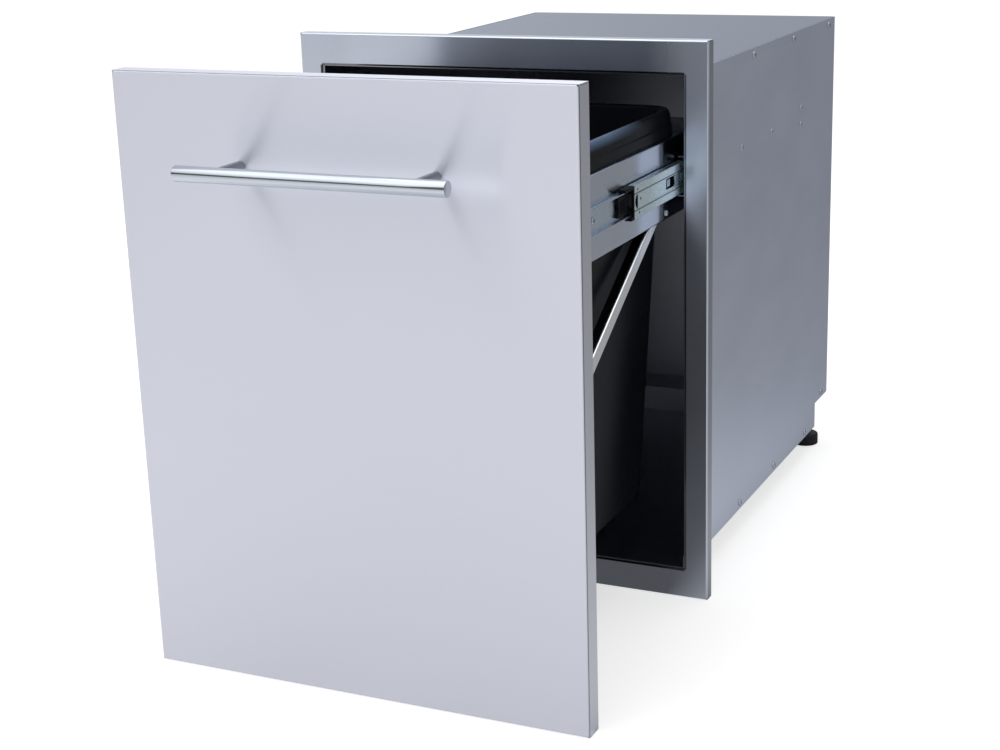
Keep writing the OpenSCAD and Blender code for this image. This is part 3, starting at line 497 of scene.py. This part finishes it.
# width in metres of the soft edges of the sheet metal, slides and cages; a name that isn't a
# node's own stands for the left one and the right one
sheetEdges = {
    "handle_backing": 0.0003, "front_liner": 0.0002, "face_frame": 0.00015,
    "side": 0.0002, "top_panel": 0.0002, "bottom_panel": 0.0002, "back_panel": 0.0002,
    "rail": 0.0002, "front_crossbar": 0.0002, "bin_crossbar": 0.0002, "rear_crossbar": 0.0002,
    "cabinet_slide": 0.0002, "middle_slide": 0.0002, "drawer_slide": 0.0002,
    "release_lever": 0.0003, "outer_cage": 0.0001, "inner_cage": 0.0001,
    "slide_nose": 0.0004, "slide_stop": 0.0008,
    "front_bumpers": 0.0003, "foot_nuts": 0.0004, "handle_screws": 0.0003,
}
ownFinishes = {
    "top_panel": topSteel, "front_liner": linerPaintedShadeSteel,
    "front_crossbar": barSteel, "bin_crossbar": barSteel, "rear_crossbar": barSteel,
    "cabinet_slide": cabinetZinc, "outer_cage": cabinetZinc, "middle_slide": middleZinc,
}


def nodesNamed(part):
    return [part] if part in nodes else ["left_" + part, "right_" + part]


for part, width in sheetEdges.items():
    for node in nodesNamed(part):
        piece = finishPiece(camelName(node), flatNode(node), node, ownFinishes.get(part))
        softenEdges(piece, width)


def frontSkin():
    # the tray that makes the drawer's face; its four front folds have a real radius
    look = {"fold": 0.0012, "shortest": 0.3, "edge": 0.00012}
    bm = flatNode("front_skin")
    front = min(vert.co.y for vert in bm.verts)
    folds = [edge for edge in bm.edges
             if edge.calc_length() > look["shortest"] and edge.calc_face_angle(0) > 1
             and all(vert.co.y < front + onPlane for vert in edge.verts)]
    roundFolds(bm, folds, look["fold"])
    softenEdges(finishPiece("frontSkin", bm, "front_skin"), look["edge"])


def brace(node):
    # an angle strip; the fold between its two legs is the upper outer edge of the sloping part
    look = {"slope": 31.5, "fold": 0.0030, "foldNear": 0.0005, "shortest": 0.05, "parallel": 0.99,
            "edge": 0.0003}
    bm = flatNode(node)
    outer = max(abs(vert.co.x) for vert in bm.verts)
    slope = math.radians(look["slope"])
    along = Vector((0, math.cos(slope), math.sin(slope)))
    across = Vector((0, -along.z, along.y))

    def slopes(edge):
        run = edge.verts[0].co - edge.verts[1].co
        return abs(run.dot(along)) > look["parallel"] * edge.calc_length() > look["shortest"]

    sloping = [edge for edge in bm.edges
               if slopes(edge) and all(abs(vert.co.x) > outer - onPlane for vert in edge.verts)]
    top = max(edge.verts[0].co.dot(across) for edge in sloping)
    folds = [edge for edge in sloping if edge.verts[0].co.dot(across) > top - look["foldNear"]]
    roundFolds(bm, folds, look["fold"])
    softenEdges(finishPiece(camelName(node), bm, node, bracePaintedLightSteel), look["edge"])


frontSkin()
brace("left_brace")
brace("right_brace")
print("sheet metal done")


def binBody():
    look = {
        "cornerRound": 0.034, "taper": 0.05, "wall": 0.0025,
        "foot": 0.012, "footRound": 0.007,            # the ring that it stands on
        "hollow": 0.003, "hollowSlope": 0.002,        # how the base rises inside that ring
        "floor": 0.0065, "floorRound": 0.012,
        "overSide": 0.007, "overEnd": 0.017,          # how far the rim stands out past the wall
        "flare": 0.004, "flareDrop": 0.012, "underRim": 0.0065,
        "skirtGap": 0.001, "skirtStep": 0.43, "stepIn": 0.0012,
        "lip": 0.0040, "lipDrop": 0.011, "innerRound": 0.0015, "mouth": 0.03,
        "rings": (0.15, 0.3),                         # heights of the wall's own rings of edges
        "overRail": 0.0004}
    low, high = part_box("bin")
    rimHalf = (high - low).xy / 2
    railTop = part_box("right_rail")[1].z
    skirtLow = railTop + look["overRail"]
    step = skirtLow + look["skirtStep"] * (high.z - railTop)
    wall = look["wall"]
    wallTop = rimHalf - Vector((look["overSide"], look["overEnd"]))

    def wallHalf(z, inset=0.0):
        # half the outer size of the tapering wall at a height
        shrink = look["taper"] * (high.z - z) + inset
        return wallTop - Vector((shrink, shrink))

    def rim(inset):
        return rimHalf - Vector((inset, inset))

    def quarter(half, z, radius, start, end):
        # rows on a quarter circle about (half, z), between two angles above the horizontal
        turns = [math.radians(start + (end - start) * share) for share in (0, 0.25, 0.5, 0.75, 1)]
        return [(half + Vector((radius, radius)) * math.cos(turn), z + radius * math.sin(turn))
                for turn in turns]

    footRound, floorRound, innerRound = look["footRound"], look["floorRound"], look["innerRound"]
    rings = [low.z + height for height in look["rings"]]
    underRim = high.z - look["underRim"]
    skirt = rim(look["skirtGap"] + wall)
    floorTop = low.z + look["floor"] + floorRound
    # (half size, height) rows from the base up the outside, over the rim and down to the floor
    rows = quarter(wallHalf(low.z, footRound), low.z + footRound, footRound, -90, 0)
    rows += [(wallHalf(z), z) for z in (*rings, high.z - look["flareDrop"])]
    rows += [(wallHalf(high.z, -look["flare"]), underRim), (skirt, underRim)]
    rows += [(skirt, step), (skirt, skirtLow), (rim(0.0), skirtLow)]
    rows += [(rim(0.0), step - look["stepIn"]), (rim(look["stepIn"]), step)]
    for turn in map(math.radians, range(0, 91, 15)):
        rows.append((rim(look["stepIn"] + look["lip"] * (1 - math.cos(turn))),
                     high.z - look["lipDrop"] * (1 - math.sin(turn))))
    for turn in map(math.radians, range(0, 91, 30)):
        rows.append((wallHalf(high.z, wall + innerRound * math.sin(turn) - innerRound),
                     high.z - innerRound * (1 - math.cos(turn))))
    rows += [(wallHalf(z, wall), z) for z in (high.z - look["mouth"], *reversed(rings))]
    rows += quarter(wallHalf(floorTop, wall + floorRound), floorTop, floorRound, 0, -90)

    bm = bmesh.new()
    bmesh.ops.create_grid(bm, x_segments=1, y_segments=1, size=1.0)
    half, height = rows[0]
    bmesh.ops.scale(bm, vec=(*half, 1), verts=bm.verts)
    bmesh.ops.bevel(bm, geom=bm.verts, offset=look["cornerRound"] - footRound, segments=10,
                    profile=0.5, affect="VERTICES", material=-1)
    bmesh.ops.translate(bm, vec=(0, 0, height), verts=bm.verts)
    base = bm.faces[:]
    made = bmesh.ops.extrude_face_region(bm, geom=base, use_keep_orig=True)["geom"]
    growing = [face for face in made if isinstance(face, bmesh.types.BMFace)]
    for index, (nextHalf, nextHeight) in enumerate(rows[1:]):
        if index:
            made = bmesh.ops.extrude_face_region(bm, geom=growing)["geom"]
            bmesh.ops.delete(bm, geom=growing, context="FACES_ONLY")
            growing = [face for face in made if isinstance(face, bmesh.types.BMFace)]
        verts = list({vert for face in growing for vert in face.verts})
        bmesh.ops.scale(bm, vec=(nextHalf.x / half.x, nextHalf.y / half.y, 1), verts=verts)
        bmesh.ops.translate(bm, vec=(0, 0, nextHeight - height), verts=verts)
        half, height = nextHalf, nextHeight
    bmesh.ops.inset_region(bm, faces=base, thickness=look["foot"], use_even_offset=True)
    bmesh.ops.inset_region(bm, faces=base, thickness=look["hollowSlope"], depth=-look["hollow"],
                           use_even_offset=True)
    bmesh.ops.translate(bm, vec=(0, (low.y + high.y) / 2, 0), verts=bm.verts)
    bmesh.ops.recalc_face_normals(bm, faces=bm.faces)
    evenNormals(finishPiece("binShell", bm, "bin", sharp=40))


binBody()
print("bin done")


def handle():
    look = {"cap": 0.0008, "capShape": 0.3, "seat": 0.0006}
    low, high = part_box("handle_bar")
    middle = (low + high) / 2
    radius = min(high.y - low.y, high.z - low.z) / 2
    length = high.x - low.x
    cap = look["cap"]
    inner = cap * look["capShape"]
    bar = spunBody([(0, 0), (radius - cap, 0), (radius - inner, inner), (radius, cap),
                    (radius, length / 3), (radius, length * 2 / 3),
                    (radius, length - cap), (radius - inner, length - inner),
                    (radius - cap, length), (0, length)], steps=64)
    finishPiece("handleBar", setAt(bar, (low.x, middle.y, middle.z), (1, 0, 0)), "handle_bar")
    posts = []
    seat = look["seat"]
    for island in islandsOf("handle_posts"):
        low, high = cornersOf(island)
        thick, reach = (high.x - low.x) / 2, high.y - low.y
        post = spunBody([(0, 0), (thick, 0), (thick, reach - seat), (thick - seat, reach),
                         (0, reach)])
        posts.append(setAt(post, ((low.x + high.x) / 2, low.y, middle.z), (0, 1, 0)))
    finishPiece("handlePosts", gathered(posts), "handle_posts", postPaintedShadeSteel)


handle()
print("handle done")


def screwEnds(points):
    # the top of a screw's head, the direction that it faces and the screw's length, from its solid
    low, high = cornersOf(points)
    size = high - low
    axis = min(range(3), key=lambda i: abs(size[(i + 1) % 3] - size[(i + 2) % 3]))
    middle = (low + high) / 2
    sameLevel = 1e-5

    def widthAt(level):
        away = [p - middle for p in points if abs(p[axis] - level) < sameLevel]
        for gap in away:
            gap[axis] = 0
        return max(gap.length for gap in away)

    way = Vector((0, 0, 0))
    way[axis] = 1 if widthAt(high[axis]) > widthAt(low[axis]) else -1
    return middle + way * size[axis] / 2, way, size[axis]


def crossHead(length, head):
    # pan head with a cross recess on a threaded shank, its top at the origin and its tip down -Z
    look = {
        "rise": 0.002, "rim": 0.0002,
        "dome": ((0.98, 0.6), (0.86, 0.25), (0.6, 0.05)),   # shares of the radius and rise
        "slot": (0.0052, 0.0008, 0.0022),                   # length, width and twice the depth
        "shank": 0.0018, "point": 0.7, "pointHigh": 0.0005,
        "pitch": 0.0008, "root": 0.82, "crest": 0.4, "threadUp": 0.0006, "plain": 0.001}
    rise, shank, pitch, rim = look["rise"], look["shank"], look["pitch"], look["rim"]
    profile = [(0, -length), (shank * look["point"], -length), (shank, -length + look["pointHigh"])]
    for i in range(int((length - rise - look["plain"]) / pitch)):
        level = -length + look["threadUp"] + (i + 0.5) * pitch
        profile += [(shank * look["root"], level), (shank, level + pitch * look["crest"])]
    profile += [(shank, -rise), (head - rim, -rise), (head, -rise + rim)]
    profile += [(head * out, -rise * down) for out, down in look["dome"]]
    blank = addObject("screwBlank", meshOf("screwBlank", spunBody(profile + [(0, 0)], steps=24)))
    slots = bmesh.new()
    for turn in (0, 90):
        made = bmesh.ops.create_cube(slots, size=1.0)["verts"]
        shape = Matrix.Rotation(math.radians(turn), 4, "Z") @ Matrix.Diagonal((*look["slot"], 1))
        bmesh.ops.transform(slots, matrix=shape, verts=made)
    cutter = addObject("screwCut", meshOf("screwCut", slots))
    recess = blank.modifiers.new("recess", "BOOLEAN")
    recess.object = cutter
    recess.solver = "EXACT"
    recess.use_self = True
    graph = bpy.context.evaluated_depsgraph_get()
    screw = bpy.data.meshes.new_from_object(blank.evaluated_get(graph))
    bpy.data.objects.remove(blank)
    bpy.data.objects.remove(cutter)
    return screw


def screwSet(node, head):
    # one screw at each of the node's places, each turned a little further than the last
    look = {"turnEach": 37}
    kinds = {}
    whole = bmesh.new()
    for index, island in enumerate(islandsOf(node)):
        top, way, length = screwEnds(island)
        key = round(length, 4)
        if key not in kinds:
            kinds[key] = crossHead(length, head)
        before = len(whole.verts)
        whole.from_mesh(kinds[key])
        whole.verts.ensure_lookup_table()
        turn = Matrix.Rotation(math.radians(look["turnEach"] * index), 4, "Z")
        bmesh.ops.transform(whole, matrix=Matrix.Translation(top) @ turnTo(way) @ turn,
                            verts=whole.verts[before:])
    finishPiece(camelName(node), whole, node, screwSteel, sharp=40)


def rivetSet():
    # blind rivets along X, each with the pit that its mandrel leaves in the dome
    look = {
        "back": 0.003, "backThick": 0.0004, "shank": 0.0018, "rise": 0.0014,
        "dome": 0.0042, "domeShape": ((1, 1), (0.96, 0.6), (0.8, 0.25), (0.55, 0)),
        "pit": 0.0013, "pitShape": ((1, 0.05), (0.9, 0.7), (0, 0.7))}   # shares of radius and rise
    back, shank, rise = look["back"], look["shank"], look["rise"]
    parts = []
    for island in islandsOf("slide_rivets"):
        low, high = cornersOf(island)
        length = high.x - low.x
        inner = -length + look["backThick"]
        profile = [(0, -length), (back, -length), (back, inner), (shank, inner), (shank, -rise)]
        for size, shape in ((look["dome"], look["domeShape"]), (look["pit"], look["pitShape"])):
            profile += [(size * out, -rise * down) for out, down in shape]
        side = 1 if high.x > 0 else -1
        heart = sum(island, Vector()) / len(island)
        top = (high.x if side > 0 else low.x, heart.y, heart.z)
        parts.append(setAt(spunBody(profile, steps=24), top, (side, 0, 0)))
    finishPiece("slideRivets", gathered(parts), "slide_rivets", screwSteel, sharp=40)


def ballSet(node):
    whole = bmesh.new()
    for island in islandsOf(node):
        middle = sum(island, Vector()) / len(island)
        radius = max((p - middle).length for p in island)
        bmesh.ops.create_icosphere(whole, subdivisions=2, radius=radius,
                                   matrix=Matrix.Translation(middle))
    finishPiece(camelName(node), whole, node, sharp=90)


# radius of each set's heads
screwHeads = {
    "shell_screws": 0.0045, "slide_screws": 0.0035, "frame_screws": 0.0035, "brace_screws": 0.0035}
for node, head in screwHeads.items():
    screwSet(node, head)
rivetSet()
for race in ("outer_balls", "inner_balls"):
    for node in nodesNamed(race):
        ballSet(node)
print("fasteners done")


def levellingFoot(node):
    look = {
        "pad": 0.016, "round": 0.003, "sole": 0.004, "soleUp": 0.001, "soleEdge": 0.0006,
        "collar": 0.002, "collarRim": 0.001, "collarDeep": 0.0008,      # the dip round the nut
        "hex": 0.005, "hexRadius": 0.008, "into": 0.001,                # the nut, let into the pad
        "stem": 0.005, "pitch": 0.0015, "root": 0.86, "tip": 0.8, "edge": 0.0003}
    low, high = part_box(node)
    middle = (low + high) / 2
    radius = (high.x - low.x) / 2
    pad, hexRadius, into = look["pad"], look["hexRadius"], look["into"]
    sole = radius - look["sole"]
    profile = [(0, look["soleUp"]), (sole, look["soleUp"]), (sole, 0),
               (radius - look["soleEdge"], 0), (radius, look["soleEdge"])]
    for turn in map(math.radians, (0, 22.5, 45, 67.5, 90)):
        profile.append((radius - look["round"] * (1 - math.cos(turn)),
                        pad - look["round"] * (1 - math.sin(turn))))
    collarTop = pad - look["collarDeep"]
    profile += [(hexRadius + look["collar"], pad), (hexRadius + look["collarRim"], collarTop),
                (0, collarTop)]
    body = spunBody(profile)
    bmesh.ops.translate(body, vec=(middle.x, middle.y, 0), verts=body.verts)
    softenEdges(finishPiece(camelName(node) + "Pad", body, node), look["edge"])

    stem, pitch = look["stem"], look["pitch"]
    stemLow = pad + look["hex"] - into
    level = stemLow + into
    profile = [(0, stemLow), (stem, stemLow)]
    while level + pitch < high.z:
        profile += [(stem * look["root"], level + pitch / 2), (stem, level + pitch)]
        level += pitch
    rod = spunBody(profile + [(stem * look["tip"], high.z), (0, high.z)], steps=32)
    nut = bmesh.new()
    bmesh.ops.create_cone(nut, cap_ends=True, segments=6, radius1=hexRadius, radius2=hexRadius,
                          depth=look["hex"] + into)
    bmesh.ops.translate(nut, vec=(0, 0, pad + (look["hex"] - into) / 2), verts=nut.verts)
    metal = gathered([rod, nut])
    bmesh.ops.translate(metal, vec=(middle.x, middle.y, 0), verts=metal.verts)
    piece = finishPiece(camelName(node) + "Stem", metal, node, screwSteel)
    softenEdges(piece, look["edge"])


for node in nodesNamed("foot"):
    levellingFoot(node)
print("feet done")


def towardsKey(tree, vector):
    return vectorMaths(tree, "DOT_PRODUCT", vector, keyWay, "Value")


def seenShare(tree):
    # 1 for rays straight from the camera, or from it through something clear
    rays = addNode(tree, "ShaderNodeLightPath").outputs
    return maths(tree, "MAXIMUM", rays["Is Camera Ray"], rays["Is Transmission Ray"])


def mirroredShare(tree):
    return addNode(tree, "ShaderNodeLightPath").outputs["Is Glossy Ray"]


def makeFloor():
    # what metal mirrors of it is a glow, bright in front and dimmer far off, with painted shade
    # close by and on the far side from the light, and a painted shadow under the drawer
    studio = {
        "half": 30.0, "colour": (0.80, 0.80, 0.80), "seen": 0.62,
        "near": 1.05, "far": 0.79, "fading": (1.0, 2.8),
        "close": 0.72, "closeFading": (0.1, 0.7), "around": (0, -0.4, 0),
        "farSide": 0.36, "sideFading": (-0.8, 0.2),
        "under": 0.145, "halfWidth": 0.20, "front": -0.35, "softEdge": 0.1}
    # the pairs say where a change starts and ends, in metres from "around" or towards the light
    bm = bmesh.new()
    bmesh.ops.create_grid(bm, x_segments=1, y_segments=1, size=studio["half"])
    floor = addObject("floor", meshOf("floor", bm))
    mat = bpy.data.materials.new("floorWhite")
    tree, out = emptyTree(mat, "ShaderNodeOutputMaterial")
    place = scaledPlace(tree)
    axes = axesOf(tree, place)
    away = vectorMaths(tree, "DISTANCE", place, studio["around"], "Value")
    inWidth = spread(tree, maths(tree, "ABSOLUTE", axes["X"]), 1.0, 0.0, studio["halfWidth"],
                     studio["halfWidth"] + studio["softEdge"])
    behindFront = maths(tree, "GREATER_THAN", axes["Y"], studio["front"])
    footprint = maths(tree, "MULTIPLY", inWidth, behindFront)
    toward = towardsKey(tree, place)
    level = spread(tree, away, studio["near"], studio["far"], *studio["fading"])
    # painted shade close by and on the far side from the light, and a painted shadow under the
    # drawer
    for shade in (spread(tree, away, studio["close"], 1.0, *studio["closeFading"]),
                  spread(tree, toward, studio["farSide"], 1.0, *studio["sideFading"]),
                  spread(tree, footprint, 1.0, studio["under"], 0.0, 1.0)):
        level = maths(tree, "MULTIPLY", level, shade)
    paint = addNode(tree, "ShaderNodeBsdfDiffuse", Color=studio["colour"])
    white = addNode(tree, "ShaderNodeEmission",
                    Strength=maths(tree, "MULTIPLY", seenShare(tree), studio["seen"]))
    mirrored = addNode(tree, "ShaderNodeEmission", Strength=level)
    plain = addNode(tree, "ShaderNodeAddShader")
    plug(tree, plain.inputs[0], paint.outputs["BSDF"])
    plug(tree, plain.inputs[1], white.outputs["Emission"])
    either = addNode(tree, "ShaderNodeMixShader", Fac=mirroredShare(tree))
    plug(tree, either.inputs[1], plain.outputs["Shader"])
    plug(tree, either.inputs[2], mirrored.outputs["Emission"])
    plug(tree, out.inputs["Surface"], either.outputs["Shader"])
    floor.data.materials.append(mat)


def makeWorld():
    # white to the eye; metal mirrors a room that is bright overhead and on the light's side, and
    # that has a dim band around the horizon in front
    sky = {
        "light": 0.5, "seen": 1.0,
        "dimSide": 0.30, "keySide": 0.95, "sideFading": (-0.7, 0.7),
        "band": 0.14, "bandStart": (0.0, 0.4), "bandTop": (0.20, 0.72),
        "backLow": 0.30, "ceiling": 0.85, "backRise": (0.08, 0.45),
        "backDim": 0.30, "backBright": 1.95, "backFading": (-0.35, 0.0), "most": 0.92}
    # the pairs say where a change starts and ends: bandTop and backRise on the way up, and the
    # others on the way round to the light
    world = bpy.data.worlds.new("studio")
    tree, out = emptyTree(world, "ShaderNodeOutputWorld")
    way = addNode(tree, "ShaderNodeTexCoord").outputs["Generated"]
    up = axesOf(tree, way)["Z"]
    toward = towardsKey(tree, way)
    inFront = spread(tree, toward, 1.0, sky["band"], *sky["bandStart"])
    side = spread(tree, toward, sky["dimSide"], sky["keySide"], *sky["sideFading"])
    band = maths(tree, "MAXIMUM", spread(tree, up, 0.0, 1.0, *sky["bandTop"]), inFront)
    overhead = spread(tree, up, sky["backLow"], sky["ceiling"], *sky["backRise"])
    back = spread(tree, toward, sky["backDim"], sky["backBright"], *sky["backFading"])
    behind = maths(tree, "MINIMUM", maths(tree, "MULTIPLY", overhead, back), sky["most"])
    mirrored = maths(tree, "MAXIMUM", maths(tree, "MULTIPLY", side, band),
                     maths(tree, "MULTIPLY", behind, inFront))
    level = mixed(tree, sky["light"], mirrored, mirroredShare(tree))
    glow = addNode(tree, "ShaderNodeBackground", Color=(1, 1, 1),
                   Strength=mixed(tree, level, sky["seen"], seenShare(tree)))
    plug(tree, out.inputs["Surface"], glow.outputs["Background"])
    scene.world = world


def addSoftbox(name, place, target, size, power):
    lamp = bpy.data.lights.new(name, "AREA")
    lamp.size = size
    lamp.energy = power
    obj = addObject(name, lamp)
    obj.location = place
    obj.rotation_euler = (Vector(target) - Vector(place)).to_track_quat("-Z", "Y").to_euler()


def makeCamera():
    shot = {"place": (0.8807, -1.8873, 0.8695), "heading": 25.153, "dip": -16.531, "tilt": -1.737,
            "lens": 65.69, "sensor": 36.0}
    cam = bpy.data.cameras.new("camera")
    cam.sensor_width = shot["sensor"]
    cam.lens = shot["lens"]
    scene.camera = addObject("camera", cam)
    scene.camera.matrix_world = (Matrix.Translation(shot["place"])
                                 @ Matrix.Rotation(math.radians(shot["heading"]), 4, "Z")
                                 @ Matrix.Rotation(math.radians(90 + shot["dip"]), 4, "X")
                                 @ Matrix.Rotation(math.radians(shot["tilt"]), 4, "Z"))


makeFloor()
makeWorld()
addSoftbox("keyBox", place=(-1.9, -2.2, 3.6), target=(0, 0, 0.3), size=5.4, power=64)
addSoftbox("topBox", place=(0.2, 0.2, 3.4), target=(0, 0.1, 0.3), size=2.6, power=18)
makeCamera()
print("studio done")
